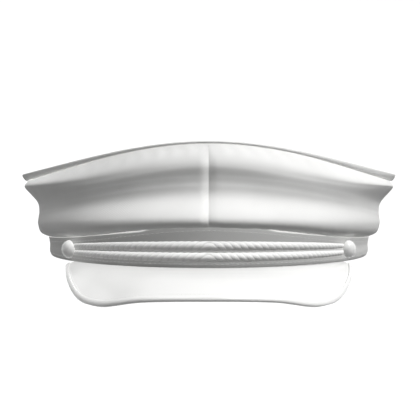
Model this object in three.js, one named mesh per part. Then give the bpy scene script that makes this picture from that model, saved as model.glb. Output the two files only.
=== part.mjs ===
// A cadet cap: a low soft crown with two rolls, a stiff band, a downturned peak with a rolled edge,
// and a doubled chin cord looped round two domed side buttons.
//
// Every piece is described as the cap is worn. The head opening lies in the plane z = 0, the peak points
// to -Y and +Z is up. A place on the cap is given by three values: the turn round the head (0 at the
// front, 90 at the +X side, 180 at the back), the distance out from the head oval, and the height.
// At the end the cap is laid on a table, where it stands on the peak's two corners and the band's heel.
import * as THREE from "three";

// Driving dimensions, in millimetres, degrees and shares.
const HEAD_HALF_WIDTH = 84.6; // inside of the band, ear to ear
const HEAD_HALF_LENGTH = 102; // inside of the band, brow to nape: an opening 588 mm round
const SEWN_GAP = 0.3; // space between pieces that are sewn or seated on each other

const BAND_TOP = { side: 11.7, front: 18.4, back: 11.7, easePower: 5 };
const BAND_BOTTOM = { side: 2.8, front: -1.3, back: 0, easePower: 1 };
const BAND_STEPS = 72;

const CROWN_WALL = 1.8;
const CROWN_STEPS = 32; // from the front seam to the back seam
const CROWN_ROWS = 16; // from the band to the piping
const SEAM_DEPTH = 1.7; // how far the cloth is drawn in at the front and back seams
const SEAM_WIDTH = 2.3;
const SEAM_CROWDING = 0.78; // 0 spaces the steps evenly, and near 1 they crowd at the seams

const PIPING_OUT = { side: 17.2, front: -2.9, back: 14.2, easePower: 1 };
const PIPING_HEIGHT = { side: 43.8, front: 58.2, back: 40, easePower: 2.35 };
const PIPING_HALF_HEIGHT = { side: 2.1, front: 0.6, back: 1.5, easePower: 1.2 };
const PIPING_HALF_WIDTH = { side: 0.75, front: 0.6, back: 0.75, easePower: 2 };
const PIPING_LEAN = { side: 36, front: -15, back: 10, easePower: 1 }; // outwards from upright
const PIPING_STEPS = 56;
const PIPING_SIDES = 8;

const TOP_WALL = 1.2;
const TOP_CENTRE_HEIGHT = 48.5;
const TOP_RIM_HEIGHT = { side: 44.6, front: 57.8, back: 40.5, easePower: 2.35 };
const TOP_STEPS = 56;
const TOP_RINGS = 5;

const PEAK_END_TURN = 53; // where the peak's tips leave the band
const PEAK_HALF_WIDTH = 69.8;
const PEAK_REACH = 77.4; // from the line through the tips to the front edge
const PEAK_WALL = 2;
const PEAK_BOW = 0.12; // share of the drop by which the peak bows above a straight slope
const PEAK_STEPS = 36;
const PEAK_ROWS = 6;

const ROLL_HEIGHT = 3;
const ROLL_DEPTH = 2.6;
const ROLL_SIDES = 8;

const BUTTON_TURN = 50.4;
const BUTTON_HEIGHT = 6.5;
const BUTTON_RADIUS = 4.5;
const BUTTON_SIDES = 20;
const SHANK_RADIUS = 0.6;
const SHANK_LENGTH = 2.3;

const CORD_RADIUS = { middle: 2.3, end: 0.75 };
const CORD_SPREAD = { middle: 2.65, end: 1.6 }; // from the pair's midline to each run
const CORD_MIDLINE = { middle: 6.45, end: BUTTON_HEIGHT };
const CORD_RUN_STEPS = 40;
const CORD_TURN_STEPS = 6;
const CORD_SIDES = 8;

const REST_TILT = 4.9; // how far the cap leans back on the table
const REST_PRESS = 0.5; // how far the band's heel is flattened there

// Values given at the side, front and back of the head, all moved by the same amount.
const moved = ({ side, front, back, ...rest }, by) => ({
  side: side + by,
  front: front + by,
  back: back + by,
  ...rest,
});

// The crown's cloth from the band up to the piping. Each row is one fold line, with its distance out
// from the head oval and its height. A higher easePower keeps the front's value nearer to the middle.
const CROWN_FOLDS = [
  {
    fold: "tuck",
    out: { side: 1.2, front: 1.2, back: 1.2, easePower: 2 },
    height: moved(BAND_TOP, SEWN_GAP),
  },
  {
    fold: "underside",
    out: { side: 7, front: 8.6, back: 7, easePower: 2 },
    height: { side: 14.1, front: 18, back: 13.6, easePower: 5 },
  },
  {
    fold: "lowerRoll",
    out: { side: 8.7, front: 10.6, back: 9.6, easePower: 2 },
    height: { side: 18.8, front: 22, back: 17.4, easePower: 4 },
  },
  {
    fold: "shelf",
    out: { side: 8.5, front: 3, back: 8.4, easePower: 4 },
    height: { side: 22.2, front: 31.6, back: 20.6, easePower: 2 },
  },
  {
    fold: "groove",
    out: { side: 8.2, front: 1.5, back: 7.6, easePower: 4.8 },
    height: { side: 25.4, front: 37.8, back: 23.4, easePower: 2.4 },
  },
  {
    fold: "hollow",
    out: { side: 9.2, front: 1.9, back: 9, easePower: 4.5 },
    height: { side: 30.2, front: 41.7, back: 26.6, easePower: 2.8 },
  },
  {
    fold: "upperRoll",
    out: { side: 15.6, front: 2.8, back: 13.8, easePower: 1.6 },
    height: { side: 37.2, front: 46.2, back: 32.6, easePower: 5 },
  },
  {
    fold: "shoulder",
    out: { side: 16, front: 1, back: 14.4, easePower: 1.8 },
    height: { side: 39.6, front: 51.6, back: 36, easePower: 4 },
  },
  {
    fold: "neck",
    out: { side: 15.5, front: -3.6, back: 13.1, easePower: 1 },
    height: { side: 41.7, front: 57.2, back: 38.2, easePower: 2.25 },
  },
];

// The band's outer face from its lower edge up: share of its height, and distance out.
const BAND_FACE = [
  { share: 0, out: 1.5 },
  { share: 0.12, out: 2.0 },
  { share: 0.3, out: 2.3 },
  { share: 0.62, out: 2.2 },
  { share: 0.97, out: 2.8 },
  { share: 1, out: 2.65 },
];

// The peak's lower edge from the middle of the front to a tip: turn along the edge, and drop below the band.
const PEAK_EDGE = [
  { turn: 0, drop: 11.5 },
  { turn: 25, drop: 12.4 },
  { turn: 45, drop: 15.4 },
  { turn: 60, drop: 13.6 },
  { turn: 75, drop: 6.7 },
  { turn: 90, drop: 0.4 },
];

// A domed button's outline: distance from its axis, and height over its back.
const BUTTON_DOME = [
  { radius: BUTTON_RADIUS - 0.5, height: 0 },
  { radius: BUTTON_RADIUS, height: 0.5 },
  { radius: BUTTON_RADIUS - 0.15, height: 1.3 },
  { radius: 3.85, height: 2.4 },
  { radius: 2.8, height: 3.3 },
  { radius: 1.5, height: 3.8 },
];

const { degToRad } = THREE.MathUtils;

// Places on the cap

const headNormal = (turn) =>
  new THREE.Vector3(Math.sin(turn) / HEAD_HALF_WIDTH, -Math.cos(turn) / HEAD_HALF_LENGTH, 0).normalize();

function place(turn, out, height) {
  const x = HEAD_HALF_WIDTH * Math.sin(turn);
  const y = -HEAD_HALF_LENGTH * Math.cos(turn);
  return new THREE.Vector3(x, y, height).addScaledVector(headNormal(turn), out);
}

// A value that is given at the side, front and back of the head, at any turn between them.
function valueAt({ side, front, back, easePower }, turn) {
  const forward = Math.max(0, Math.cos(turn)) ** easePower;
  const rearward = Math.max(0, -Math.cos(turn)) ** 2;
  return side + (front - side) * forward + (back - side) * rearward;
}

const turnsRound = (steps) => Array.from({ length: steps }, (_, i) => (2 * Math.PI * i) / steps);

// A closed surface through loops of points that all have the same even number of points. The first half
// of a loop is one rail and the second half runs back along the other, so an end is closed rail to rail.
function loft(loops, { ring = false } = {}) {
  const count = loops[0].length;
  const index = [];
  const quad = (a, b, c, d) => index.push(a, b, c, a, c, d);
  for (let i = 0; i < loops.length - (ring ? 0 : 1); i++) {
    const near = i * count;
    const far = ((i + 1) % loops.length) * count;
    for (let j = 0; j < count; j++) {
      const next = (j + 1) % count;
      quad(near + j, far + j, far + next, near + next);
    }
  }
  if (!ring) {
    const last = (loops.length - 1) * count;
    for (let j = 0; j < count / 2 - 1; j++) {
      const across = count - 2 - j;
      quad(j, j + 1, across, across + 1);
      quad(last + across + 1, last + across, last + j + 1, last + j);
    }
  }
  return facingOut(new THREE.BufferGeometry().setFromPoints(loops.flat()).setIndex(index));
}

// The same surface with its faces turned outwards, whichever way its loops ran.
function facingOut(geometry) {
  const index = geometry.getIndex().array;
  const corner = [0, 1, 2].map(() => new THREE.Vector3());
  let volume = 0;
  for (let i = 0; i < index.length; i += 3) {
    corner.forEach((point, k) => point.fromBufferAttribute(geometry.getAttribute("position"), index[i + k]));
    volume += corner[0].dot(corner[1].cross(corner[2])) / 6;
  }
  if (volume < 0) {
    geometry.setIndex(Array.from(index).reverse());
  }
  geometry.computeVertexNormals();
  return geometry;
}

const loopOf = (outerRail, innerRail) => [...outerRail, ...innerRail.slice().reverse()];

// The table, as the worn cap sees it: a plane that falls away to the front.

const HEEL_Y = HEAD_HALF_LENGTH + BAND_FACE[0].out;
const tableHeight = (y) => REST_PRESS - (HEEL_Y - y) * Math.tan(degToRad(REST_TILT));
const restOnTable = (point) => point.setZ(Math.max(point.z, tableHeight(point.y)));

// The band: one stiff ring of cloth-covered board

function bandGeometry() {
  const loops = turnsRound(BAND_STEPS).map((turn) => {
    const bottom = valueAt(BAND_BOTTOM, turn);
    const heightOf = (share) => bottom + (valueAt(BAND_TOP, turn) - bottom) * share;
    const outer = BAND_FACE.map(({ share, out }) => restOnTable(place(turn, out, heightOf(share))));
    const inner = BAND_FACE.map(({ share }) => restOnTable(place(turn, 0, heightOf(share))));
    return loopOf(outer, inner);
  });
  return loft(loops, { ring: true });
}

// The crown's side: two curved panels of cloth that meet at the front and back seams

// The panel's cross-section at one turn, as points of distance out and height.
function crownSection(turn) {
  const seamDistance = HEAD_HALF_WIDTH * Math.sin(turn);
  const drawnIn = SEAM_DEPTH * Math.exp(-((seamDistance / SEAM_WIDTH) ** 2));
  const folds = CROWN_FOLDS.map(({ fold, out, height }) => {
    const sewnDown = fold === "tuck" || fold === "neck";
    return new THREE.Vector2(valueAt(out, turn) - (sewnDown ? 0 : drawnIn), valueAt(height, turn));
  });
  const curve = new THREE.SplineCurve(folds);
  const shares = Array.from({ length: CROWN_ROWS + 1 }, (_, i) => i / CROWN_ROWS);
  const outer = shares.map((share) => curve.getPoint(share));
  const inner = shares.map((share, i) => {
    const along = curve.getTangent(share);
    return new THREE.Vector2(outer[i].x - CROWN_WALL * along.y, outer[i].y + CROWN_WALL * along.x);
  });
  return loopOf(outer, inner);
}

// The panel on the +X side, or its mirror image on the other.
function crownPanelGeometry(mirror) {
  const seamTurn = Math.asin(SEWN_GAP / 2 / HEAD_HALF_WIDTH);
  const loops = Array.from({ length: CROWN_STEPS + 1 }, (_, i) => {
    const share = i / CROWN_STEPS;
    const eased = share - (SEAM_CROWDING * Math.sin(2 * Math.PI * share)) / (2 * Math.PI);
    const turn = seamTurn + (Math.PI - 2 * seamTurn) * eased;
    return crownSection(turn).map(({ x: out, y: height }) => {
      const point = place(turn, out, height);
      return point.setX(point.x * mirror);
    });
  });
  return loft(loops);
}

// The crown's top: an oval of cloth that falls from the high front to the back

function crownTopGeometry() {
  const edgeInset = PIPING_HALF_WIDTH.side + SEWN_GAP;
  const half = TOP_WALL / 2;
  const shares = Array.from({ length: TOP_RINGS }, (_, i) => (i + 1) / TOP_RINGS);
  const rings = [half, -half].map((level) =>
    shares.map((share) =>
      turnsRound(TOP_STEPS).map((turn) => {
        const edge = place(turn, valueAt(PIPING_OUT, turn) - edgeInset, 0);
        const rise = (valueAt(TOP_RIM_HEIGHT, turn) - TOP_CENTRE_HEIGHT) * share ** 2;
        return new THREE.Vector3(edge.x * share, edge.y * share, TOP_CENTRE_HEIGHT + rise + level);
      }),
    ),
  );
  const [upper, lower] = rings;
  return plate(upper, lower, TOP_CENTRE_HEIGHT, half);
}

// A closed plate between two sets of rings, with a centre point on each face.
function plate(upper, lower, centreHeight, half) {
  const steps = upper[0].length;
  const rows = [...upper, ...lower.slice().reverse()];
  const index = [];
  for (let row = 0; row < rows.length - 1; row++) {
    for (let i = 0; i < steps; i++) {
      const next = (i + 1) % steps;
      const a = row * steps + i;
      const b = row * steps + next;
      index.push(a, a + steps, b + steps, a, b + steps, b);
    }
  }
  const upperCentre = rows.length * steps;
  const lowerCentre = upperCentre + 1;
  const lastRow = (rows.length - 1) * steps;
  for (let i = 0; i < steps; i++) {
    const next = (i + 1) % steps;
    index.push(upperCentre, i, next, lowerCentre, lastRow + next, lastRow + i);
  }
  const centres = [half, -half].map((level) => new THREE.Vector3(0, 0, centreHeight + level));
  return facingOut(new THREE.BufferGeometry().setFromPoints([...rows.flat(), ...centres]).setIndex(index));
}

// The piping: a flat cord-filled welt that stands up as a lip round the crown's upper edge

function pipingGeometry() {
  const loops = turnsRound(PIPING_STEPS).map((turn) => {
    const lean = degToRad(valueAt(PIPING_LEAN, turn));
    return turnsRound(PIPING_SIDES).map((angle) => {
      const up = valueAt(PIPING_HALF_HEIGHT, turn) * Math.sin(angle);
      const across = valueAt(PIPING_HALF_WIDTH, turn) * Math.cos(angle);
      const out = valueAt(PIPING_OUT, turn) + Math.sin(lean) * up + Math.cos(lean) * across;
      const height = valueAt(PIPING_HEIGHT, turn) + Math.cos(lean) * up - Math.sin(lean) * across;
      return place(turn, out, height);
    });
  });
  return loft(loops, { ring: true });
}

// The peak: a stiff crescent under the band's front edge

// The drop at a turn along the peak's edge: a smooth curve through the table, level at the middle.
const dropCurve = new THREE.CubicInterpolant(
  PEAK_EDGE.map(({ turn }) => turn),
  PEAK_EDGE.map(({ drop }) => drop),
  1,
);
dropCurve.settings = { endingStart: THREE.ZeroSlopeEnding, endingEnd: THREE.ZeroCurvatureEnding };
const dropAt = (edgeTurn) => dropCurve.evaluate(Math.abs(edgeTurn))[0];

// A point of the peak's upper face: across runs from -1 to 1 between the tips, share from band to edge.
function peakPoint(across, share) {
  const rootTurn = degToRad(PEAK_END_TURN) * across;
  const root = place(rootTurn, 0, valueAt(BAND_BOTTOM, rootTurn));
  const edgeTurn = 90 * across;
  const tipsLine = -(HEAD_HALF_LENGTH + BAND_FACE[1].out) * Math.cos(degToRad(PEAK_END_TURN));
  const edge = new THREE.Vector3(
    PEAK_HALF_WIDTH * Math.sin(degToRad(edgeTurn)),
    tipsLine - PEAK_REACH * Math.cos(degToRad(edgeTurn)),
    0,
  );
  const point = root.clone().lerp(edge, share);
  const fall = share - PEAK_BOW * Math.sin(Math.PI * share);
  return point.setZ(point.z - SEWN_GAP - dropAt(edgeTurn) * fall);
}

// The way out along the peak and the way square to its face, at a point of it.
function peakFrame(across, share) {
  const step = 1e-3;
  const outward = peakPoint(across, share).sub(peakPoint(across, share - step)).normalize();
  const sideways = peakPoint(across + step, share).sub(peakPoint(across - step, share));
  const up = outward.clone().cross(sideways).normalize();
  return { outward, up };
}

const peakStations = Array.from({ length: PEAK_STEPS + 1 }, (_, i) => (2 * i) / PEAK_STEPS - 1);

function peakGeometry() {
  const loops = peakStations.map((across) => {
    const shares = Array.from({ length: PEAK_ROWS + 1 }, (_, i) => i / PEAK_ROWS);
    const upper = shares.map((share) => peakPoint(across, share));
    const lower = shares.map((share, i) => {
      const { up } = peakFrame(across, Math.max(share, 0.01));
      return upper[i].clone().addScaledVector(up, -PEAK_WALL);
    });
    return loopOf(upper, lower);
  });
  return loft(loops);
}

// The rolled edge: a bead of the same leather along the peak's rim

function rollGeometry() {
  const loops = peakStations.map((across) => {
    const { outward, up } = peakFrame(across, 1);
    const middle = peakPoint(across, 1).addScaledVector(up, -PEAK_WALL / 2);
    middle.addScaledVector(outward, SEWN_GAP);
    return Array.from({ length: ROLL_SIDES }, (_, i) => {
      const angle = Math.PI / 2 - (Math.PI * i) / (ROLL_SIDES - 1);
      const point = middle.clone().addScaledVector(outward, ROLL_DEPTH * Math.cos(angle));
      return restOnTable(point.addScaledVector(up, (ROLL_HEIGHT / 2) * Math.sin(angle)));
    });
  });
  return loft(loops);
}

// The buttons: a dome on a thin shank, one at each tip of the peak

const bandOutAt = (height, turn) => {
  const share = THREE.MathUtils.inverseLerp(valueAt(BAND_BOTTOM, turn), valueAt(BAND_TOP, turn), height);
  const above = BAND_FACE.findIndex((row) => row.share >= share);
  const low = BAND_FACE[above - 1];
  const high = BAND_FACE[above];
  return THREE.MathUtils.mapLinear(share, low.share, high.share, low.out, high.out);
};

function buttonGeometry() {
  const outline = [
    { radius: 0, height: -SHANK_LENGTH },
    { radius: SHANK_RADIUS, height: -SHANK_LENGTH },
    { radius: SHANK_RADIUS, height: 0 },
    ...BUTTON_DOME,
    { radius: 0, height: 4 },
  ];
  const points = outline.map(({ radius, height }) => new THREE.Vector2(radius, height));
  return new THREE.LatheGeometry(points, BUTTON_SIDES);
}

function seatButton(mesh, side) {
  const turn = degToRad(BUTTON_TURN) * side;
  const seat = bandOutAt(BUTTON_HEIGHT, turn) + SEWN_GAP;
  mesh.position.copy(place(turn, seat + SHANK_LENGTH, BUTTON_HEIGHT));
  mesh.quaternion.setFromUnitVectors(new THREE.Vector3(0, 1, 0), headNormal(turn));
}

// The chin cord: one endless loop, doubled across the band and caught under both buttons

// The loop's centre line, as turn, height and radius of the cord.
function cordStations() {
  const endTurn = degToRad(BUTTON_TURN);
  const stepLength = place(endTurn + 1e-3, 0, 0).distanceTo(place(endTurn, 0, 0)) / 1e-3;
  const fullness = (share) => Math.cos((Math.PI / 2) * share);
  const between = ({ middle, end }, weight) => end + (middle - end) * weight;
  const run = (upOrDown) =>
    Array.from({ length: CORD_RUN_STEPS + 1 }, (_, i) => {
      const share = ((2 * i) / CORD_RUN_STEPS - 1) * upOrDown;
      const full = fullness(share);
      const height = between(CORD_MIDLINE, full) + upOrDown * between(CORD_SPREAD, full);
      return { turn: endTurn * share, height, radius: between(CORD_RADIUS, Math.sqrt(Math.max(0, full))) };
    });
  const turnBack = (side) =>
    Array.from({ length: CORD_TURN_STEPS - 1 }, (_, i) => {
      const angle = Math.PI / 2 - (Math.PI * (i + 1)) / CORD_TURN_STEPS;
      const along = CORD_SPREAD.end * Math.cos(angle);
      const height = CORD_MIDLINE.end + side * CORD_SPREAD.end * Math.sin(angle);
      return { turn: side * (endTurn + along / stepLength), height, radius: CORD_RADIUS.end };
    });
  return [...run(1), ...turnBack(1), ...run(-1), ...turnBack(-1)];
}

function cordGeometry() {
  const stations = cordStations();
  const line = stations.map(({ turn, height, radius }) =>
    place(turn, bandOutAt(height, turn) + SEWN_GAP + radius, height),
  );
  const loops = stations.map(({ turn, radius }, i) => {
    const before = line[(i + line.length - 1) % line.length];
    const after = line[(i + 1) % line.length];
    const across = headNormal(turn);
    const along = after.clone().sub(before).normalize();
    const upward = along.clone().cross(across).normalize();
    return turnsRound(CORD_SIDES).map((angle) =>
      line[i].clone()
        .addScaledVector(across, radius * Math.cos(angle))
        .addScaledVector(upward, radius * Math.sin(angle)),
    );
  });
  return loft(loops, { ring: true });
}

// Materials, and the finished cap

const cloth = new THREE.MeshStandardMaterial({ color: 0xf1f1ef, roughness: 0.85, metalness: 0 });
const bandCloth = new THREE.MeshStandardMaterial({ color: 0xd9d9d7, roughness: 0.85, metalness: 0 });
const pipingCloth = new THREE.MeshStandardMaterial({ color: 0xe9e9e7, roughness: 0.7, metalness: 0 });
const cordSilk = new THREE.MeshStandardMaterial({ color: 0xf6f6f4, roughness: 0.6, metalness: 0 });
const patentLeather = new THREE.MeshStandardMaterial({ color: 0xf7f7f6, roughness: 0.22, metalness: 0 });
const enamel = new THREE.MeshStandardMaterial({ color: 0xf5f5f3, roughness: 0.25, metalness: 0 });

function piece(name, geometry, material) {
  const mesh = new THREE.Mesh(geometry, material);
  mesh.name = name;
  return mesh;
}

const cap = new THREE.Group();
cap.add(
  piece("band", bandGeometry(), bandCloth),
  piece("crown_side_right", crownPanelGeometry(1), cloth),
  piece("crown_side_left", crownPanelGeometry(-1), cloth),
  piece("crown_top", crownTopGeometry(), cloth),
  piece("crown_piping", pipingGeometry(), pipingCloth),
  piece("visor", peakGeometry(), patentLeather),
  piece("visor_edge_roll", rollGeometry(), patentLeather),
  piece("chin_cord", cordGeometry(), cordSilk),
);
for (const [name, side] of [["button_right", 1], ["button_left", -1]]) {
  const button = piece(name, buttonGeometry(), enamel);
  seatButton(button, side);
  cap.add(button);
}

// The cap is leant back until the table is level, and set down with the origin under its middle.
cap.rotation.x = -degToRad(REST_TILT);
cap.position.z = -tableHeight(0) * Math.cos(degToRad(REST_TILT));
cap.updateMatrixWorld(true);
const box = new THREE.Box3().setFromObject(cap, true);
cap.position.y = -(box.min.y + box.max.y) / 2;

const part = new THREE.Group();
part.add(cap);
export default part;
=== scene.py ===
import math

import bpy
import numpy as np
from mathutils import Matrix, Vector


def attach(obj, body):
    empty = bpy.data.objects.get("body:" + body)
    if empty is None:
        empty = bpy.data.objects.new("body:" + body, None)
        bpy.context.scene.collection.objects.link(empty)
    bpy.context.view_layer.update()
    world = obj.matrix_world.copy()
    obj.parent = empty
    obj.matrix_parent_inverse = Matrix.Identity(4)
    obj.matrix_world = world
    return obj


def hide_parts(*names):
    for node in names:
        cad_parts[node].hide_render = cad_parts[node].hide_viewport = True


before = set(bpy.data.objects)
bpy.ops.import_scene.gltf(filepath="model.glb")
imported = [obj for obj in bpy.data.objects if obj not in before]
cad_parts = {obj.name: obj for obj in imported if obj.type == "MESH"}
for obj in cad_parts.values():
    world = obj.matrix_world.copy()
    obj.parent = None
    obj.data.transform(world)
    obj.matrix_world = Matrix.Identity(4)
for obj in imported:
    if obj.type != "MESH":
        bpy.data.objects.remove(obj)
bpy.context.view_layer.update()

# BAND
# The stiff ring that grips the head: twill over a strip of board, turned under at both edges, made greyer
# than the crown's twill as painted shade for its place under the crown's overhang. It is bent round the head
# oval, closed by an upright seam at the back, and sewn along each edge. Its top edge is rolled back a little
# on either side of the front.

# Sizes are in millimetres, as the cap is worn: the peak points to -Y and the head opening lies at height 0.
MM = 0.001
HEAD_HALF_WIDTH = 84.6
HEAD_HALF_LENGTH = 102.0
CAP_LEAN = math.radians(4.9)
CAP_FORWARD = 11.5241
CAP_LIFT = 8.3425


def head_normal(turn):
    """The way straight out from the head oval: turn 0 is the front, and a right angle the +X side."""
    turn = np.asarray(turn, float)
    way = np.stack([np.sin(turn) / HEAD_HALF_WIDTH, -np.cos(turn) / HEAD_HALF_LENGTH, 0 * turn], -1)
    return way / np.linalg.norm(way, axis=-1, keepdims=True)


def on_head(turn, out, height):
    """Points at a turn round the head, a distance out from its oval, and a height."""
    turn, out, height = np.broadcast_arrays(*(np.asarray(v, float) for v in (turn, out, height)))
    oval = np.stack([HEAD_HALF_WIDTH * np.sin(turn), -HEAD_HALF_LENGTH * np.cos(turn), height], -1)
    return oval + out[..., None] * head_normal(turn)


def round_head(turn, side, front, back, ease=2.0):
    """A size given at the side, front and back of the head, at any turn between them. A higher ease keeps
    the front's size nearer to the middle."""
    forward = np.maximum(0, np.cos(turn)) ** ease
    rearward = np.maximum(0, -np.cos(turn)) ** 2
    return side + (front - side) * forward + (back - side) * rearward


def lean(ways):
    """Ways on the worn cap, turned as the cap leans back on the table."""
    x, y, z = np.moveaxis(np.asarray(ways, float), -1, 0)
    return np.stack([x, y * math.cos(CAP_LEAN) + z * math.sin(CAP_LEAN),
                     z * math.cos(CAP_LEAN) - y * math.sin(CAP_LEAN)], -1)


def set_down(points):
    """Points of the worn cap, in metres, on the table: what would sink into it is flattened on it."""
    placed = lean(points) + [0, CAP_FORWARD, CAP_LIFT]
    placed[..., 2] = np.maximum(placed[..., 2], 0)
    return placed * MM


def smooth_through(xs, ys, at, level_start=False):
    """A smooth curve through a short table of sizes."""
    xs, ys, at = (np.asarray(v, float) for v in (xs, ys, at))
    steps = np.diff(ys) / np.diff(xs)
    slopes = np.concatenate([[0], (ys[2:] - ys[:-2]) / (xs[2:] - xs[:-2]), [0]])
    slopes[0] = 0 if level_start else 1.5 * steps[0] - 0.5 * slopes[1]
    slopes[-1] = 1.5 * steps[-1] - 0.5 * slopes[-2]
    i = np.clip(np.searchsorted(xs, at, side="right") - 1, 0, len(xs) - 2)
    width = xs[i + 1] - xs[i]
    t = (at - xs[i]) / width
    start = ys[i] + (ys[i + 1] - ys[i]) * t * t * (3 - 2 * t)
    return start + width * t * (1 - t) * (slopes[i] * (1 - t) - slopes[i + 1] * t)


def lengths(points, axis):
    """Distance run along rows of points, from 0 at the start of each."""
    runs = np.linalg.norm(np.diff(points, axis=axis), axis=-1)
    zero = np.zeros_like(np.take(runs, [0], axis=axis))
    return np.concatenate([zero, np.cumsum(runs, axis=axis)], axis=axis)


def make_skin(name, rows, weave, material, ring=False, capped=False, poles=False):
    """A closed mesh through rows of points, each row a closed loop. weave gives the cloth map, in metres,
    with one column more than the rows, and one row more where ring joins the last row to the first. capped
    closes the end rows from rail to rail, and poles closes them with a point."""
    count, across = rows.shape[:2]
    points = rows.reshape(-1, 3)
    index = np.arange(count * across).reshape(count, across)
    index = np.concatenate([index, index[:1]]) if ring else index
    index = np.concatenate([index, index[:, :1]], 1)
    quad = ((0, 0), (1, 0), (1, 1), (0, 1))
    tall, wide = index.shape[0] - 1, index.shape[1] - 1
    faces = np.stack([index[a:a + tall, b:b + wide] for a, b in quad], -1).reshape(-1, 4).tolist()
    maps = np.stack([weave[a:a + tall, b:b + wide] for a, b in quad], -2).reshape(-1, 4, 2).tolist()
    for row, turned in ((0, 1), (-1, -1)):
        if capped:
            for j in range(across // 2 - 1):
                k = across - 2 - j
                face = [j, j + 1, k, k + 1][::turned]
                faces.append([int(index[row, n]) for n in face])
                maps.append([weave[row, n].tolist() for n in face])
        if poles:
            pole = len(points)
            points = np.concatenate([points, rows[row].mean(0, keepdims=True)])
            middle = weave[row, :-1].mean(0).tolist()
            for j in range(across):
                edge = [j + 1, j][::turned]
                faces.append([pole] + [int(index[row, n]) for n in edge])
                maps.append([middle] + [weave[row, n].tolist() for n in edge])
    first = np.array([f[:3] for f in faces])
    last = np.array([[f[0], f[2], f[-1]] for f in faces])
    a, b, c = np.moveaxis(points[np.concatenate([first, last])], 1, 0)
    if (a * np.cross(b, c)).sum() < 0:
        faces = [f[::-1] for f in faces]
        maps = [m[::-1] for m in maps]
    mesh = bpy.data.meshes.new(name)
    mesh.from_pydata(set_down(points).tolist(), [], faces)
    layer = mesh.uv_layers.new(name="weave")
    layer.data.foreach_set("uv", np.concatenate(maps).ravel())
    mesh.shade_smooth()
    mesh.set_sharp_from_angle(angle=math.radians(60))
    mesh.materials.append(material)
    piece = bpy.data.objects.new(name, mesh)
    bpy.context.scene.collection.objects.link(piece)
    return piece


def add_node(tree, kind, sockets=None, **settings):
    """A node with its settings, and its sockets set to a value or linked to another node's output."""
    node = tree.nodes.new(kind)
    for name, value in settings.items():
        setattr(node, name, value)
    for name, value in (sockets or {}).items():
        if isinstance(value, bpy.types.NodeSocket):
            tree.links.new(value, node.inputs[name])
        else:
            node.inputs[name].default_value = value
    return node


def reckon(tree, operation, *values):
    """A number worked out by a node from its values."""
    return add_node(tree, "ShaderNodeMath", dict(enumerate(values)), operation=operation).outputs[0]


def new_finish(name, **constants):
    """A material with its shader's even values set: returns it with its node tree and shader."""
    material = bpy.data.materials.new(name)
    material.use_nodes = True
    shader = material.node_tree.nodes["Principled BSDF"]
    for socket, value in constants.items():
        shader.inputs[socket.replace("_", " ")].default_value = value
    return material, material.node_tree, shader


def patches(tree, size, detail=3.0):
    """Soft patches, 0 to 1, about as wide as size in millimetres."""
    place = add_node(tree, "ShaderNodeTexCoord").outputs["Object"]
    sockets = {"Vector": place, "Scale": 1 / (size * MM), "Detail": detail}
    return add_node(tree, "ShaderNodeTexNoise", sockets).outputs["Fac"]


def between(tree, share, low, high):
    """A value that goes from low to high with a share."""
    sockets = {"Value": share, "To Min": low, "To Max": high}
    return add_node(tree, "ShaderNodeMapRange", sockets).outputs["Result"]


def tone(tree, share, dark, light):
    """A grey, hardly tinted, that goes from dark to light with a share."""
    mix = add_node(tree, "ShaderNodeMix", {"Factor": share}, data_type="RGBA")
    mix.inputs[6].default_value = dark
    mix.inputs[7].default_value = light
    return mix.outputs[2]


WAVE_PERIOD = math.pi / 10  # length of one rib or ply at a scale of 1


def twill(name, dark, light, rib, slant, relief):
    """Twill: slanting ribs over the cloth map, crossed by finer yarns, with soft patches of tone."""
    material, tree, shader = new_finish(name, Sheen_Weight=0.12, Sheen_Roughness=0.45,
                                        Specular_IOR_Level=0.25)
    cloth = add_node(tree, "ShaderNodeUVMap", uv_map="weave").outputs["UV"]
    sockets = {"Vector": cloth, "Rotation": (0, 0, slant)}
    turned = add_node(tree, "ShaderNodeMapping", sockets).outputs["Vector"]
    ribs = add_node(tree, "ShaderNodeTexWave", {"Vector": turned, "Scale": WAVE_PERIOD / (rib * MM),
                                                "Distortion": 0.5, "Detail": 1.0}).outputs["Fac"]
    yarns = add_node(tree, "ShaderNodeTexWave", {"Vector": turned, "Scale": WAVE_PERIOD / (0.7 * rib * MM),
                                                 "Distortion": 0.8}, bands_direction="Y").outputs["Fac"]
    height = reckon(tree, "MULTIPLY_ADD", yarns, 0.4, ribs)
    bump = add_node(tree, "ShaderNodeBump", {"Height": height, "Strength": 0.7, "Distance": relief * MM})
    tree.links.new(bump.outputs["Normal"], shader.inputs["Normal"])
    shade = reckon(tree, "MULTIPLY_ADD", ribs, 0.25, patches(tree, 18))
    tree.links.new(tone(tree, shade, dark, light), shader.inputs["Base Color"])
    tree.links.new(between(tree, patches(tree, 6), 0.78, 0.94), shader.inputs["Roughness"])
    return material


def make_path(name, lines):
    """A mesh of bare lines to grow stitches or a cord on. Each has points, its closing and named sizes."""
    points, edges, start = [], [], 0
    for line in lines:
        count = len(line["points"])
        points.append(set_down(line["points"]))
        last = count if line["closed"] else count - 1
        edges += [(start + i, start + (i + 1) % count) for i in range(last)]
        start += count
    mesh = bpy.data.meshes.new(name)
    mesh.from_pydata(np.concatenate(points).tolist(), edges, [])
    for key in (k for k in lines[0] if k not in ("points", "closed")):
        values = np.concatenate([line[key] for line in lines])
        kind = "FLOAT_VECTOR" if values.ndim == 2 else "FLOAT"
        store = mesh.attributes.new(key, kind, "POINT")
        store.data.foreach_set("vector" if values.ndim == 2 else "value", values.ravel())
    return mesh


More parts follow.
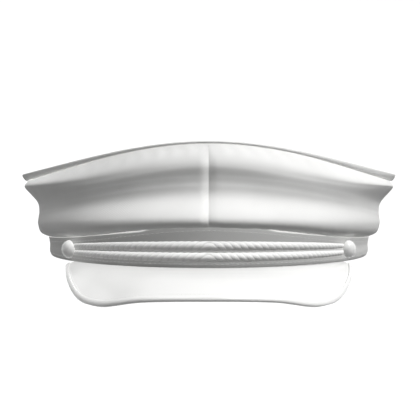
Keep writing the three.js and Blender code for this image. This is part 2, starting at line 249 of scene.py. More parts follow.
def new_tree(name, **inputs):
    """A geometry tree with named inputs: returns it with its group input and output."""
    tree = bpy.data.node_groups.new(name, "GeometryNodeTree")
    tree.interface.new_socket("Geometry", in_out="INPUT", socket_type="NodeSocketGeometry")
    tree.interface.new_socket("Geometry", in_out="OUTPUT", socket_type="NodeSocketGeometry")
    for key, kind in inputs.items():
        tree.interface.new_socket(key.replace("_", " "), in_out="INPUT", socket_type="NodeSocket" + kind)
    return tree, tree.nodes.new("NodeGroupInput").outputs, tree.nodes.new("NodeGroupOutput").inputs


def grow(name, path, tree, **sizes):
    """Runs a geometry tree on a path and keeps what it makes as a plain mesh."""
    maker = bpy.data.objects.new(name + "_path", path)
    bpy.context.scene.collection.objects.link(maker)
    modifier = maker.modifiers.new("grow", "NODES")
    modifier.node_group = tree
    for socket in tree.interface.items_tree:
        key = socket.name.replace(" ", "_")
        if socket.in_out == "INPUT" and key in sizes:
            modifier[socket.identifier] = sizes[key]
    graph = bpy.context.evaluated_depsgraph_get()
    mesh = bpy.data.meshes.new_from_object(maker.evaluated_get(graph), preserve_all_data_layers=True,
                                           depsgraph=graph)
    mesh.name = name
    maker.modifiers.clear()
    bpy.data.objects.remove(maker)
    piece = bpy.data.objects.new(name, mesh)
    bpy.context.scene.collection.objects.link(piece)
    return piece


def named(tree, key, kind="FLOAT"):
    """A size stored on the path."""
    stored = add_node(tree, "GeometryNodeInputNamedAttribute", {"Name": key}, data_type=kind)
    return stored.outputs["Attribute"]


def stitch_tree():
    """A row of sewing: arched threads at an even pitch along a line, each end sunk into the cloth."""
    tree, given, result = new_tree("sewn_row", Pitch="Float", Stitch="Float", Thread="Float",
                                   Finish="Material")
    line = add_node(tree, "GeometryNodeMeshToCurve", {"Mesh": given["Geometry"]}).outputs["Curve"]
    even = add_node(tree, "GeometryNodeResampleCurve", {"Curve": line, "Length": given["Pitch"]},
                    mode="LENGTH")
    along = add_node(tree, "GeometryNodeInputTangent").outputs["Tangent"]
    turned = add_node(tree, "FunctionNodeAxesToRotation",
                      {"Primary Axis": along, "Secondary Axis": named(tree, "away", "FLOAT_VECTOR")},
                      primary_axis="X", secondary_axis="Z").outputs["Rotation"]
    half = reckon(tree, "MULTIPLY", given["Stitch"], 0.5)
    other = reckon(tree, "MULTIPLY", half, -1.0)
    sunk = reckon(tree, "MULTIPLY", given["Thread"], -1.2)
    high = reckon(tree, "MULTIPLY", given["Thread"], 2.2)
    arch = add_node(tree, "GeometryNodeCurveQuadraticBezier", {
        "Resolution": 5,
        "Start": add_node(tree, "ShaderNodeCombineXYZ", {"X": other, "Z": sunk}).outputs[0],
        "Middle": add_node(tree, "ShaderNodeCombineXYZ", {"Z": high}).outputs[0],
        "End": add_node(tree, "ShaderNodeCombineXYZ", {"X": half, "Z": sunk}).outputs[0]})
    thread = add_node(tree, "GeometryNodeCurvePrimitiveCircle", {"Resolution": 6, "Radius": given["Thread"]})
    stitch = add_node(tree, "GeometryNodeCurveToMesh", {"Curve": arch.outputs["Curve"],
                                                        "Profile Curve": thread.outputs["Curve"],
                                                        "Fill Caps": True})
    sewn = add_node(tree, "GeometryNodeInstanceOnPoints", {"Points": even.outputs["Curve"],
                                                           "Instance": stitch.outputs["Mesh"],
                                                           "Rotation": turned})
    real = add_node(tree, "GeometryNodeRealizeInstances", {"Geometry": sewn.outputs["Instances"]})
    smooth = add_node(tree, "GeometryNodeSetShadeSmooth", {"Geometry": real.outputs["Geometry"]})
    done = add_node(tree, "GeometryNodeSetMaterial", {"Geometry": smooth.outputs["Geometry"],
                                                      "Material": given["Finish"]})
    tree.links.new(done.outputs["Geometry"], result["Geometry"])
    return tree


def sewing_thread(name, dark, light):
    """Waxed thread, with its twist as a fine slanting ripple."""
    material, tree, shader = new_finish(name, Roughness=0.55, Sheen_Weight=0.1)
    place = add_node(tree, "ShaderNodeTexCoord").outputs["Object"]
    ply = add_node(tree, "ShaderNodeTexWave", {"Vector": place, "Scale": WAVE_PERIOD / (0.35 * MM)},
                   bands_direction="DIAGONAL").outputs["Fac"]
    bump = add_node(tree, "ShaderNodeBump", {"Height": ply, "Strength": 0.5, "Distance": 0.03 * MM})
    tree.links.new(bump.outputs["Normal"], shader.inputs["Normal"])
    tree.links.new(tone(tree, ply, dark, light), shader.inputs["Base Color"])
    return material


BAND_TOP = {"side": 11.7, "front": 18.4, "back": 11.7, "ease": 5.0}
BAND_BOTTOM = {"side": 2.8, "front": -1.3, "back": 0.0, "ease": 1.0}
BAND_FACE = {"share": (0, 0.12, 0.3, 0.62, 0.97, 1), "out": (1.5, 2.0, 2.3, 2.2, 2.8, 2.8)}
BAND_BEVEL = {"size": 0.9, "turn": 21.5, "inner_fade": 2.0, "outer_fade": 20.0}  # turns in degrees
BAND_TURNED_EDGE = {"depth": 0.1, "share": 0.03}
BAND_SEAM = {"depth": 0.45, "width": 0.9}
BAND_SEWING = {"lower": 1.7, "upper": 2.2}  # distance from each edge
STITCH = {"Pitch": 2.5 * MM, "Stitch": 1.9 * MM, "Thread": 0.13 * MM}
TWILL = {"rib": 0.55, "slant": 0.9, "relief": 0.05}


def band_face_out(turn, height):
    """How far out the band's face stands at a turn and height."""
    bottom, top = round_head(turn, **BAND_BOTTOM), round_head(turn, **BAND_TOP)
    share = (height - bottom) / (top - bottom)
    seam = HEAD_HALF_WIDTH * (np.pi - np.abs(turn)) / BAND_SEAM["width"]
    drawn = BAND_SEAM["depth"] * np.exp(-seam ** 2)
    past = np.degrees(np.abs(turn)) - BAND_BEVEL["turn"]
    fade = np.where(past < 0, 1 + past / BAND_BEVEL["inner_fade"], 1 - past / BAND_BEVEL["outer_fade"])
    bevel = BAND_BEVEL["size"] * np.maximum(0, fade)
    rolled_back = np.maximum(0, height - top + bevel)
    return smooth_through(BAND_FACE["share"], BAND_FACE["out"], share) - drawn - rolled_back


# Painted shade: the band's twill is greyer than the crown's, standing for the shade under the crown's
# overhang.
band_cloth = twill("band_twill", (0.64, 0.64, 0.63, 1), (0.74, 0.74, 0.73, 1), **TWILL)
spread = np.linspace(-np.pi, np.pi, 481)[:-1]
turns = (spread + 0.85 * np.sin(spread))[:, None]  # closest together at the back seam
shares = np.concatenate([np.linspace(0, 0.88, 25), np.linspace(0.9, 1, 13)])[None]
bottom, top = round_head(turns, **BAND_BOTTOM), round_head(turns, **BAND_TOP)
heights = bottom + (top - bottom) * shares
turned_edge = BAND_TURNED_EDGE["depth"] * np.exp(-(shares / BAND_TURNED_EDGE["share"]) ** 2)
outside = on_head(turns, band_face_out(turns, heights) - turned_edge, heights)
inside = on_head(turns, turned_edge, heights)[:, ::-1]
loops = np.concatenate([outside, inside], 1)
closed_loops = np.concatenate([loops, loops[:, :1]], 1)
round_run = lengths(np.concatenate([closed_loops, closed_loops[:1]]), 0)[:, :1]
weave = np.stack(np.broadcast_arrays(round_run, lengths(closed_loops, 1)[0][None]), -1) * MM
band = make_skin("band_cover", loops, weave, band_cloth, ring=True)
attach(band, "root")
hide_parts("band")

sewn_row = stitch_tree()
# The band's thread is as grey as the band's twill, so it carries the same painted shade.
thread = sewing_thread("band_thread", (0.66, 0.66, 0.65, 1), (0.76, 0.76, 0.75, 1))
turns = np.linspace(-np.pi, np.pi, 401)[:-1]
away = lean(head_normal(turns))
rows = [{"points": on_head(turns, band_face_out(turns, up), up), "closed": True, "away": away}
        for up in (round_head(turns, **BAND_BOTTOM) + BAND_SEWING["lower"],
                   round_head(turns, **BAND_TOP) - BAND_SEWING["upper"])]
band_stitches = grow("band_stitches", make_path("band_rows", rows), sewn_row, Finish=thread, **STITCH)
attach(band_stitches, "root")

# CROWN SIDE
# Two curved panels of white twill, joined at the middle of the front and of the back by lapped seams that
# draw the left panel in deeper. They are tucked in behind the band's top edge, swell over it in a low roll,
# sink in, and swell again under the piping.
CROWN_WALL = 1.8
CROWN_FOLDS = (
    # fold line: its distance out at the side, front and back, and how near to the middle the front's holds,
    # and then its height in the same way
    ("tuck", (2.3, 2.1, 2.3, 2.0), (11.75, 18.45, 11.75, 5.0)),
    ("underside", (7.0, 8.6, 7.0, 2.0), (14.1, 18.0, 13.6, 5.0)),
    ("lower_roll", (8.7, 10.6, 9.6, 2.0), (18.8, 22.0, 17.4, 4.0)),
    ("shelf", (8.5, 3.0, 8.4, 4.0), (22.2, 31.6, 20.6, 2.0)),
    ("groove", (8.2, 1.65, 7.6, 4.8), (25.4, 37.8, 23.4, 2.4)),
    ("hollow", (9.2, 1.9, 9.0, 4.5), (30.2, 41.9, 26.6, 2.8)),
    ("upper_roll", (15.6, 2.8, 13.8, 1.75), (37.2, 46.6, 32.6, 5.6)),
    ("shoulder", (16.0, 1.1, 14.4, 1.8), (39.6, 51.4, 36.0, 4.6)),
    ("neck", (15.5, -3.6, 13.1, 1.0), (41.9, 57.4, 38.4, 2.25)),
)
SEAM_VALLEY = {"right": 0.8, "left": 1.8, "width": 2.3}
SEAM_CREASE = {"depth": 0.3, "width": 0.6}
PANEL_GAP = 0.03
PANEL_MIDDLE_ROW = 40  # row of points just under the groove, where the cloth's run is measured
SLACK = ((7, 1.0, 0.4, 0.16), (13, 1.6, 1.9, 0.10), (23, 2.3, 2.7, 0.06))  # waves round, up, start, size
SLACK_HELD = {"edge": 3.0, "seam": 6.0}  # distance from the sewing at which the slack is full
GATHERS = {"pitch": 8.5, "drift": 1.3, "depth": 0.16, "inset": 2.0, "reach": 5.0}


def crown_curve(folds, at):
    """A smooth curve through the fold lines of each station: at runs from 0 at the tuck to 1 at the neck."""
    last = folds.shape[1] - 1
    i = np.minimum((at * last).astype(int), last - 1)
    t = (at * last - i)[None, :, None]
    before, low, high, after = (folds[:, np.clip(i + k, 0, last)] for k in (-1, 0, 1, 2))
    leave, arrive = (high - before) / 2, (after - low) / 2
    return (low + leave * t + (3 * (high - low) - 2 * leave - arrive) * t ** 2
            + (2 * (low - high) + leave + arrive) * t ** 3)


def crown_panel(name, side, seam_depth, material):
    """One panel, from the front seam to the back seam on one side, drawn in by seam_depth at both."""
    even = np.linspace(0, 1, 241)
    eased = even - 0.82 * np.sin(2 * np.pi * even) / (2 * np.pi)  # closest together at both seams
    edge = PANEL_GAP / HEAD_HALF_WIDTH
    turn = edge + (np.pi - 2 * edge) * eased
    from_seam = HEAD_HALF_WIDTH * np.sin(turn)
    valley = seam_depth * np.exp(-(from_seam / SEAM_VALLEY["width"]) ** 2)
    drawn = valley + SEAM_CREASE["depth"] * np.exp(-(from_seam / SEAM_CREASE["width"]) ** 2)
    folds = np.stack([np.stack([round_head(turn, *out) - (0 if fold in ("tuck", "neck") else drawn),
                                round_head(turn, *height)], -1)
                      for fold, out, height in CROWN_FOLDS], 1)
    share = np.linspace(0, 1, 89)
    curve = crown_curve(folds, share)
    along = np.gradient(curve, axis=1)
    along /= np.linalg.norm(along, axis=-1, keepdims=True)
    face_way = np.stack([along[..., 1], -along[..., 0]], -1)
    up_run = lengths(curve, 1)
    to_edge = np.minimum(up_run, up_run[:, -1:] - up_run)
    round_run = HEAD_HALF_WIDTH * turn[:, None]
    drift = GATHERS["drift"] * np.sin(5 * turn[:, None] + side)
    puckers = np.cos(2 * np.pi * round_run / GATHERS["pitch"] + drift)
    gathers = GATHERS["depth"] * puckers * np.exp(-((to_edge - GATHERS["inset"]) / GATHERS["reach"]) ** 2)
    slack = sum(size * np.sin(waves * turn[:, None] + start * (2 + side))
                * np.sin(np.pi * up * share + start) for waves, up, start, size in SLACK)
    loose = (np.minimum(1, to_edge / SLACK_HELD["edge"])
             * np.minimum(1, from_seam[:, None] / SLACK_HELD["seam"]))
    curve = curve + face_way * ((gathers + slack) * loose)[..., None]
    lining = curve - CROWN_WALL * face_way
    rails = np.concatenate([curve, lining[:, ::-1]], 1)
    loops = on_head(turn[:, None], rails[..., 0], rails[..., 1]) * [side, 1, 1]
    closed = np.concatenate([loops, loops[:, :1]], 1)
    round_panel = lengths(closed, 0)[:, [PANEL_MIDDLE_ROW]]
    weave = np.stack(np.broadcast_arrays(round_panel, lengths(closed, 1)), -1) * MM
    return make_skin(name, loops, weave, material, capped=True)


crown_cloth = twill("crown_twill", (0.79, 0.79, 0.78, 1), (0.87, 0.87, 0.86, 1), **TWILL)
for hand, side in (("right", 1), ("left", -1)):
    node = "crown_side_" + hand
    panel = crown_panel(node + "_cloth", side, SEAM_VALLEY[hand], crown_cloth)
    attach(panel, "root")
    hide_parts(node)

# CROWN TOP
# An oval of the same twill that closes the crown, stretched from the high front to the low back. Its rim is
# turned down and sewn to the piping, and a second row of sewing holds the turned edge flat.
TOP_WALL = 1.2
TOP_CENTRE = 48.5
PIPING_OUT = {"side": 17.2, "front": -2.9, "back": 14.2, "ease": 1.0}
RIM_HEIGHT = {"side": 44.6, "front": 57.8, "back": 40.5, "ease": 2.35}
RIM_INSET = 0.85
RIM_DIP = {"depth": 0.5, "reach": 1.6}
TOP_SAG = ((2, 0.7, 0.35), (5, 2.1, 0.16), (9, 0.3, 0.10))  # waves round, start and size of the slack folds
TOP_SEWING_INSET = 4.2


def top_point(turn, share, drop=0.0):
    """A point of the top: share runs from the middle to the rim, and drop is its depth under the face."""
    rim = on_head(turn, round_head(turn, **PIPING_OUT) - RIM_INSET, 0)
    reach = np.linalg.norm(rim, axis=-1) * (1 - share)
    slack = sum(size * np.sin(waves * turn + start + 3 * share) for waves, start, size in TOP_SAG)
    slack = slack * np.sin(np.pi * share) ** 2 - RIM_DIP["depth"] * np.exp(-(reach / RIM_DIP["reach"]) ** 2)
    rise = (round_head(turn, **RIM_HEIGHT) - TOP_CENTRE) * share ** 2
    height = TOP_CENTRE + rise + TOP_WALL / 2 + slack - drop
    return np.concatenate([rim[..., :2] * share[..., None], height[..., None]], -1)


turns = np.linspace(0, 2 * np.pi, 257)[None, :-1]
shares = np.concatenate([np.linspace(0.01, 0.93, 44), np.linspace(0.94, 1, 13)])[:, None]
turns, shares = np.broadcast_arrays(turns, shares)
upper = top_point(turns, shares)
lower = top_point(turns, shares, TOP_WALL)[::-1]
loops = np.concatenate([upper, lower])
weave = np.concatenate([loops, loops[:, :1]], 1)[..., :2] * MM
crown_top = make_skin("crown_top_cloth", loops, weave, crown_cloth, poles=True)
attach(crown_top, "root")
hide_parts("crown_top")

turns = np.linspace(0, 2 * np.pi, 401)[:-1]
reach = np.linalg.norm(on_head(turns, round_head(turns, **PIPING_OUT) - RIM_INSET, 0), axis=-1)
line = top_point(turns, 1 - TOP_SEWING_INSET / reach)
rows = [{"points": line, "closed": True, "away": lean(np.tile([0.0, 0.0, 1.0], (len(turns), 1)))}]
white_thread = sewing_thread("white_thread", (0.82, 0.82, 0.81, 1), (0.92, 0.92, 0.91, 1))
top_stitches = grow("crown_top_stitches", make_path("top_row", rows), sewn_row, Finish=white_thread,
                    **STITCH)
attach(top_stitches, "root")

# PIPING
# The welt round the crown's upper edge: a filler cord in a tape of cloth cut on the bias, caught in the seam
# between the top and the sides. It stands up and out as a lip, tallest at the sides, and is lapped at the
# back.
LIP_HEIGHT = {"side": 43.8, "front": 58.2, "back": 40.0, "ease": 2.35}
LIP_HALF_LENGTH = {"side": 2.1, "front": 0.6, "back": 1.5, "ease": 1.2}
LIP_HALF_WIDTH = {"side": 0.75, "front": 0.6, "back": 0.75}
LIP_LEAN = {"side": 36.0, "front": -15.0, "back": 10.0, "ease": 1.0}  # degrees outwards from upright
LAP = {"swell": 0.12, "half": 4.0}

tape = twill("bias_tape", (0.74, 0.74, 0.73, 1), (0.84, 0.84, 0.83, 1), rib=0.5, slant=0.3, relief=0.05)
spread = np.linspace(-np.pi, np.pi, 421)[:-1]
turns = (spread + 0.6 * np.sin(spread))[:, None]  # closest together at the lap
from_lap = HEAD_HALF_WIDTH * (np.pi - np.abs(turns)) / LAP["half"]
swell = 1 + LAP["swell"] / (1 + from_lap ** 8)
angles = np.linspace(0, 2 * np.pi, 25)[None, :-1]
long_way = round_head(turns, **LIP_HALF_LENGTH) * np.cos(angles) * swell
wide_way = round_head(turns, **LIP_HALF_WIDTH) * np.sin(angles) * swell
lip_lean = np.radians(round_head(turns, **LIP_LEAN))
out = round_head(turns, **PIPING_OUT) + np.sin(lip_lean) * long_way - np.cos(lip_lean) * wide_way
height = round_head(turns, **LIP_HEIGHT) + np.cos(lip_lean) * long_way + np.sin(lip_lean) * wide_way
loops = on_head(turns, out, height)
closed = np.concatenate([loops, loops[:, :1]], 1)
closed = np.concatenate([closed, closed[:1]])
weave = np.stack([lengths(closed, 0), lengths(closed, 1)], -1) * MM
piping = make_skin("crown_piping_tape", loops, weave, tape, ring=True)
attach(piping, "root")
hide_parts("crown_piping")

# VISOR
# The peak: a crescent of stiff board faced with white patent leather, sewn under the band's front edge. It
# slopes down to the front, and its corners droop furthest, where the cap stands on the table.
PEAK_END_TURN = math.radians(53)
PEAK_HALF_WIDTH = 69.8
PEAK_REACH = 77.4
PEAK_WALL = 2.0
PEAK_BOW = 0.12
PEAK_UNDER = 0.3
PEAK_ROOT_SHARE = 0.25
PEAK_EDGE = {"turn": (0, 25, 45, 60, 75, 90), "drop": (11.5, 12.4, 15.4, 13.6, 6.7, 0.4)}
TIPS_LINE = -(HEAD_HALF_LENGTH + BAND_FACE["out"][1]) * math.cos(PEAK_END_TURN)
PEAK_SEWING_INSET = 1.1
PEAK_STITCH = {"Pitch": 2.0 * MM, "Stitch": 1.5 * MM, "Thread": 0.09 * MM}


def peak_point(across, share):
    """A point of the peak's face: across runs from tip to tip, -1 to 1, and share from band to edge."""
    across, share = np.broadcast_arrays(*(np.asarray(v, float) for v in (across, share)))
    root = on_head(PEAK_END_TURN * across, 0, round_head(PEAK_END_TURN * across, **BAND_BOTTOM))
    edge_turn = np.pi / 2 * across
    edge = np.stack([PEAK_HALF_WIDTH * np.sin(edge_turn), TIPS_LINE - PEAK_REACH * np.cos(edge_turn),
                     0 * across], -1)
    point = root + (edge - root) * share[..., None]
    drop = smooth_through(PEAK_EDGE["turn"], PEAK_EDGE["drop"], 90 * np.abs(across), level_start=True)
    fall = share - PEAK_BOW * np.sin(np.pi * share)
    point[..., 2] -= PEAK_UNDER * np.minimum(1, share / PEAK_ROOT_SHARE) + drop * fall
    return point


def peak_frame(across, share):
    """The way out along the peak, and the way square to its face."""
    step = 1e-3
    outward = peak_point(across, share) - peak_point(across, share - step)
    outward /= np.linalg.norm(outward, axis=-1, keepdims=True)
    sideways = peak_point(across + step, share) - peak_point(across - step, share)
    square = np.cross(outward, sideways)
    return outward, square / np.linalg.norm(square, axis=-1, keepdims=True)


def patent_leather(name):
    """White patent leather: a thick clear coat over a faint grain, with a slow waviness under the gloss."""
    material, tree, shader = new_finish(name, Coat_Weight=0.4, Coat_Roughness=0.08, Specular_IOR_Level=0.4)
    grain = patches(tree, 0.6, 2.0)
    waves = patches(tree, 9, 1.0)
    relief = reckon(tree, "MULTIPLY_ADD", grain, 0.06, waves)
    bump = add_node(tree, "ShaderNodeBump", {"Height": relief, "Strength": 0.05, "Distance": 0.25 * MM})
    for normal in ("Normal", "Coat Normal"):
        tree.links.new(bump.outputs["Normal"], shader.inputs[normal])
    tree.links.new(tone(tree, patches(tree, 25), (0.9, 0.9, 0.89, 1), (0.95, 0.95, 0.94, 1)),
                   shader.inputs["Base Color"])
    tree.links.new(between(tree, patches(tree, 4), 0.16, 0.25), shader.inputs["Roughness"])
    return material


leather = patent_leather("patent_leather")
stations = np.linspace(-1, 1, 241)[:, None]
shares = np.linspace(0, 1, 41)[None]
face = peak_point(stations, shares)
_, square = peak_frame(stations, np.maximum(shares, 0.01))
loops = np.concatenate([face, (face - PEAK_WALL * square)[:, ::-1]], 1)
closed = np.concatenate([loops, loops[:, :1]], 1)
weave = closed[..., :2] * MM
visor = make_skin("visor_leather", loops, weave, leather, capped=True)
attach(visor, "root")
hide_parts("visor")
visor.visible_diffuse = False

across = np.linspace(-0.9, 0.9, 301)
inset = 1 - PEAK_SEWING_INSET / np.linalg.norm(peak_point(across, 1) - peak_point(across, 0), axis=-1)
_, square = peak_frame(across, inset)
rows = [{"points": peak_point(across, inset), "closed": False, "away": lean(square)}]
visor_stitches = grow("visor_stitches", make_path("visor_row", rows), sewn_row, Finish=white_thread,
                      **PEAK_STITCH)
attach(visor_stitches, "root")

# VISOR EDGE ROLL
# A narrow strip of the same leather, rolled over the peak's rim to hide the cut edge and sewn through. It
# stands a little proud of both faces.
ROLL_HEIGHT = 3.0
ROLL_DEPTH = 2.6
ROLL_GAP = 0.2

across = np.linspace(-1, 1, 241)
outward, square = peak_frame(across, np.ones_like(across))
middle = peak_point(across, 1) - PEAK_WALL / 2 * square + ROLL_GAP * outward
angles = np.linspace(np.pi / 2, -np.pi / 2, 20)[None, :, None]
loops = (middle[:, None] + ROLL_DEPTH * np.cos(angles) * outward[:, None]
         + ROLL_HEIGHT / 2 * np.sin(angles) * square[:, None])
closed = np.concatenate([loops, loops[:, :1]], 1)
weave = np.stack([lengths(closed, 0), lengths(closed, 1)], -1) * MM
roll = make_skin("visor_edge_roll_leather", loops, weave, leather, capped=True)
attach(roll, "root")
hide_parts("visor_edge_roll")

# BUTTONS
# Two small domed buttons in glossy white enamel, one over each tip of the peak. Each has a rounded rim and a
# wire shank through the band, and the cord is looped round the shank.
BUTTON_TURN = math.radians(50.4)
BUTTON_HEIGHT = 6.5
SHANK_LENGTH = 2.3
SEWN_GAP = 0.3
BUTTON_OUTLINE = (
    # distance from the axis, and height over the button's back
    (0.6, -SHANK_LENGTH), (0.6, -0.15), (0.75, 0.0), (4.0, 0.0), (4.3, 0.1), (4.47, 0.35), (4.5, 0.7),
    (4.46, 1.1), (4.34, 1.5), (4.14, 1.95), (3.84, 2.4), (3.4, 2.87), (2.8, 3.3), (2.1, 3.63),
    (1.35, 3.86), (0.7, 3.97), (0.1, 4.0),
)


def enamel():
    """Glossy white enamel with a slightly uneven tone and surface."""
    material, tree, shader = new_finish("button_enamel", Coat_Weight=0.3, Coat_Roughness=0.04,
                                        Specular_IOR_Level=0.4)
    bump = add_node(tree, "ShaderNodeBump", {"Height": patches(tree, 1.4, 1.0), "Strength": 0.08,
                                             "Distance": 0.08 * MM})
    tree.links.new(bump.outputs["Normal"], shader.inputs["Normal"])
    tree.links.new(tone(tree, patches(tree, 3), (0.92, 0.92, 0.91, 1), (0.97, 0.97, 0.96, 1)),
                   shader.inputs["Base Color"])
    tree.links.new(between(tree, patches(tree, 0.8), 0.14, 0.26), shader.inputs["Roughness"])
    return material


button_gloss = enamel()
for hand, side in (("right", 1), ("left", -1)):
    node = "button_" + hand
    turn = side * BUTTON_TURN
    axis = head_normal(turn)
    level = np.cross([0, 0, 1], axis)
    out = band_face_out(turn, BUTTON_HEIGHT) + SEWN_GAP + SHANK_LENGTH
    back = on_head(turn, out, BUTTON_HEIGHT)
    angles = np.linspace(0, 2 * np.pi, 49)[None, :-1, None]
    outline = np.array(BUTTON_OUTLINE)
    spokes = np.cos(angles) * level + np.sin(angles) * np.array([0, 0, 1])
    loops = back + outline[:, None, :1] * spokes + outline[:, None, 1:] * axis
    closed = np.concatenate([loops, loops[:, :1]], 1)
    weave = np.stack([lengths(closed, 1), lengths(closed, 0)], -1) * MM
    button = make_skin(node + "_enamel", loops, weave, button_gloss, poles=True)
    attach(button, "root")
    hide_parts(node)

# CHIN CORD
# One endless loop of three-strand twisted cord, doubled across the front of the band and caught under both
# buttons. The twist is laid from the middle to either side, so the strands slant opposite ways in the two
# halves.
CORD_RADIUS = {"middle": 2.3, "end": 0.75}
CORD_SPREAD = {"middle": 2.65, "end": 1.6}
CORD_MIDLINE = {"middle": 6.45, "end": BUTTON_HEIGHT}
CORD_LEAD = {"middle": 10.5, "ease": 0.7}  # run of one turn of the strands, shorter where the cord is thin
CORD_MEETING = 2.0
STRANDS = 3
STRAND_SIDES = 12
STRAND_SHARE = 0.8
PLIES = -7.0  # starts of the fine plies round a strand, wound the other way
PLY_PITCH = 2.6


def cord_part(sizes, full):
    """A size of the cord between its ends and its middle."""
    return sizes["end"] + (sizes["middle"] - sizes["end"]) * full


def cord_run(up_or_down):
    """One run across the band, as turn, height and radius: the upper from left to right, the lower back."""
    share = np.linspace(-1, 1, 361) * up_or_down
    full = np.maximum(0, np.cos(np.pi / 2 * share))
    height = cord_part(CORD_MIDLINE, full) + up_or_down * cord_part(CORD_SPREAD, full)
    return BUTTON_TURN * share, height, cord_part(CORD_RADIUS, np.sqrt(full))


def cord_turn_back(side):
    """The half turn round a button's shank."""
    angle = np.pi / 2 - np.linspace(0, np.pi, 22)[1:-1]
    step = 1e-3
    stretch = np.linalg.norm(on_head(BUTTON_TURN + step, 0, 0) - on_head(BUTTON_TURN, 0, 0)) / step
    turn = side * (BUTTON_TURN + CORD_SPREAD["end"] * np.cos(angle) / stretch)
    height = CORD_MIDLINE["end"] + side * CORD_SPREAD["end"] * np.sin(angle)
    return turn, height, np.full(len(angle), CORD_RADIUS["end"])


def cord_tree():
    """Strands laid round a line, each a share of the cord's radius away from it and a share of it thick."""
    tree, given, result = new_tree("laid_cord", Strands="Int", Sides="Int", Orbit="Float", Strand="Float",
                                   Finish="Material")
    line = add_node(tree, "GeometryNodeMeshToCurve", {"Mesh": given["Geometry"]}).outputs["Curve"]
    copies = add_node(tree, "GeometryNodeDuplicateElements", {"Geometry": line, "Amount": given["Strands"]},
                      domain="SPLINE")
    part = reckon(tree, "DIVIDE", copies.outputs["Duplicate Index"], given["Strands"])
    angle = reckon(tree, "MULTIPLY_ADD", part, 2 * math.pi, named(tree, "twist"))
    away = named(tree, "away", "FLOAT_VECTOR")
    along = add_node(tree, "GeometryNodeInputTangent").outputs["Tangent"]
    beside = add_node(tree, "ShaderNodeVectorMath", {0: along, 1: away}, operation="CROSS_PRODUCT")
    orbit = reckon(tree, "MULTIPLY", named(tree, "thickness"), given["Orbit"])
    reach = []
    for way, part_of in ((away, "COSINE"), (beside.outputs[0], "SINE")):
        size = reckon(tree, "MULTIPLY", reckon(tree, part_of, angle), orbit)
        scaled = add_node(tree, "ShaderNodeVectorMath", {0: way, "Scale": size}, operation="SCALE")
        reach.append(scaled.outputs[0])
    offset = add_node(tree, "ShaderNodeVectorMath", {0: reach[0], 1: reach[1]}, operation="ADD").outputs[0]
    faced = add_node(tree, "GeometryNodeSetCurveNormal", {"Curve": copies.outputs["Geometry"],
                                                          "Normal": offset}, mode="FREE")
    laid = add_node(tree, "GeometryNodeSetPosition", {"Geometry": faced.outputs["Curve"], "Offset": offset})
    run = add_node(tree, "GeometryNodeSplineParameter").outputs["Length"]
    marked = add_node(tree, "GeometryNodeStoreNamedAttribute", {"Geometry": laid.outputs["Geometry"],
                                                                "Name": "along", "Value": run})
    ring = add_node(tree, "GeometryNodeCurvePrimitiveCircle", {"Resolution": given["Sides"], "Radius": 1.0})
    where = add_node(tree, "GeometryNodeInputPosition").outputs["Position"]
    section = add_node(tree, "GeometryNodeStoreNamedAttribute", {"Geometry": ring.outputs["Curve"],
                                                                 "Name": "around", "Value": where},
                       data_type="FLOAT_VECTOR")
    thick = reckon(tree, "MULTIPLY", named(tree, "thickness"), given["Strand"])
    swept = add_node(tree, "GeometryNodeCurveToMesh", {"Curve": marked.outputs["Geometry"],
                                                       "Profile Curve": section.outputs["Geometry"],
                                                       "Scale": thick})
    real = add_node(tree, "GeometryNodeRealizeInstances", {"Geometry": swept.outputs["Mesh"]})
    smooth = add_node(tree, "GeometryNodeSetShadeSmooth", {"Geometry": real.outputs["Geometry"]})
    done = add_node(tree, "GeometryNodeSetMaterial", {"Geometry": smooth.outputs["Geometry"],
                                                      "Material": given["Finish"]})
    tree.links.new(done.outputs["Geometry"], result["Geometry"])
    return tree


def cord_silk():
    """Silky white yarn: fine plies wind round each strand, and the hollows between strands are darkened as
    painted shade.
    """
    material, tree, shader = new_finish("cord_silk", Sheen_Weight=0.08, Sheen_Roughness=0.35,
                                        Specular_IOR_Level=0.4)
    around = add_node(tree, "ShaderNodeAttribute", attribute_name="around").outputs["Vector"]
    along = add_node(tree, "ShaderNodeAttribute", attribute_name="along").outputs["Fac"]
    section = add_node(tree, "ShaderNodeSeparateXYZ", {"Vector": around}).outputs
    angle = reckon(tree, "ARCTAN2", section["Y"], section["X"])
    run = reckon(tree, "MULTIPLY", along, 2 * math.pi / (PLY_PITCH * MM))
    wound = reckon(tree, "SINE", reckon(tree, "MULTIPLY_ADD", angle, PLIES, run))
    plies = reckon(tree, "MULTIPLY_ADD", wound, 0.5, 0.5)
    bump = add_node(tree, "ShaderNodeBump", {"Height": plies, "Strength": 0.6, "Distance": 0.06 * MM})
    tree.links.new(bump.outputs["Normal"], shader.inputs["Normal"])
    # Painted shade: the yarn is darker towards the hollows between strands, where shade falls, and lighter
    # on the crests.
    painted_hollow_shade = add_node(tree, "ShaderNodeMapRange", {"Value": section["X"], "From Min": 0.25, "From Max": 0.75})
    shade = reckon(tree, "MULTIPLY_ADD", plies, 0.2, painted_hollow_shade.outputs["Result"])
    tree.links.new(tone(tree, shade, (0.56, 0.56, 0.55, 1), (0.97, 0.97, 0.96, 1)),
                   shader.inputs["Base Color"])
    tree.links.new(between(tree, patches(tree, 1.5), 0.42, 0.6), shader.inputs["Roughness"])
    return material


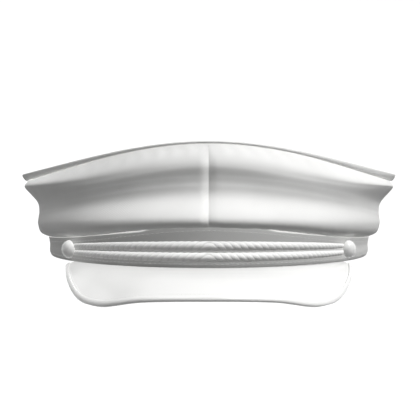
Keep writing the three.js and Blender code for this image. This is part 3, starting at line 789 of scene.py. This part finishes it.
laid_cord = cord_tree()
stretches = [cord_run(1), cord_turn_back(1), cord_run(-1), cord_turn_back(-1)]
turns, heights, radii = (np.concatenate(values) for values in zip(*stretches))
line = on_head(turns, band_face_out(turns, heights) + SEWN_GAP + radii, heights)
steps = np.linalg.norm(np.roll(line, -1, axis=0) - line, axis=-1)
from_middle = HEAD_HALF_WIDTH * turns
winding = from_middle / np.hypot(from_middle, CORD_MEETING)
lead = CORD_LEAD["middle"] * (radii / CORD_RADIUS["middle"]) ** CORD_LEAD["ease"]
twist = np.concatenate([[0], np.cumsum(2 * np.pi * winding * steps / lead)[:-1]])
rows = [{"points": line, "closed": True, "away": lean(head_normal(turns)), "thickness": radii * MM,
         "twist": twist}]
cord = grow("chin_cord_strands", make_path("cord_line", rows), laid_cord, Strands=STRANDS,
            Sides=STRAND_SIDES, Orbit=1 - STRAND_SHARE, Strand=STRAND_SHARE, Finish=cord_silk())
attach(cord, "root")
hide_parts("chin_cord")
cord.visible_diffuse = False

# STUDIO
# A pale sweep lit from within, a broad lamp high at the front right, softer spills from it, the top and the
# floor that cast no shadows, and an even fill. The camera stands straight in front of the cap, level with
# its lean.
LAMPS = (
    # name, the way to it, strength, breadth in degrees, and whether it casts shadows
    ("key_lamp", (0.50, -0.25, 0.83), 0.3, 40, True),
    ("key_spill", (0.50, -0.25, 0.83), 2.9, 40, False),
    ("top_spill", (-0.4, -0.1, 0.91), 0.75, 40, False),
    ("floor_spill", (-0.4, -0.3, -0.87), 0.25, 40, False),
)
FILL = 0.11
SWEEP = ((0.001, 0), (2.2, 0), (2.7, 0.13), (3.07, 0.5), (3.2, 1.0), (3.2, 4.0))  # metres out and up
SWEEP_GLOW = 0.7
SWEEP_TONE = 0.35
CAMERA_PLACE = (0.6, -691.0, 26.0)
CAMERA_LENS = 107.1

angles = np.linspace(0, 2 * np.pi, 97)[:-1]
points = [(r * math.cos(a), r * math.sin(a), z) for r, z in SWEEP for a in angles]
count = len(angles)
faces = [(k * count + i, k * count + (i + 1) % count, (k + 1) * count + (i + 1) % count, (k + 1) * count + i)
         for k in range(len(SWEEP) - 1) for i in range(count)]
mesh = bpy.data.meshes.new("studio_sweep")
mesh.from_pydata(points, [], faces + [tuple(range(count))])
mesh.shade_smooth()
paper, _, _ = new_finish("sweep_paper", Roughness=1.0, Specular_IOR_Level=0.0,
                         Base_Color=(SWEEP_TONE, SWEEP_TONE, SWEEP_TONE, 1),
                         Emission_Color=(1, 1, 1, 1), Emission_Strength=SWEEP_GLOW)
mesh.materials.append(paper)
sweep = bpy.data.objects.new("studio_sweep", mesh)
bpy.context.scene.collection.objects.link(sweep)
sweep.visible_diffuse = False
sweep.visible_shadow = False

for name, way, strength, breadth, shadows in LAMPS:
    lamp_data = bpy.data.lights.new(name, "SUN")
    lamp_data.energy = strength
    lamp_data.angle = math.radians(breadth)
    lamp_data.use_shadow = shadows
    lamp = bpy.data.objects.new(name, lamp_data)
    lamp.rotation_mode = "QUATERNION"
    lamp.rotation_quaternion = Vector(way).to_track_quat("Z", "Y")
    bpy.context.scene.collection.objects.link(lamp)

world = bpy.data.worlds.new("studio_fill")
world.use_nodes = True
backdrop = world.node_tree.nodes["Background"]
backdrop.inputs["Color"].default_value = (1, 1, 1, 1)
backdrop.inputs["Strength"].default_value = FILL
bpy.context.scene.world = world
bpy.context.scene.view_settings.view_transform = "Standard"

camera_data = bpy.data.cameras.new("camera")
camera_data.lens = CAMERA_LENS
camera_data.clip_start = 0.01
camera = bpy.data.objects.new("camera", camera_data)
camera.location = set_down(np.array(CAMERA_PLACE))
camera.rotation_euler = (math.pi / 2 - CAP_LEAN, 0, 0)
bpy.context.scene.collection.objects.link(camera)
bpy.context.scene.camera = camera
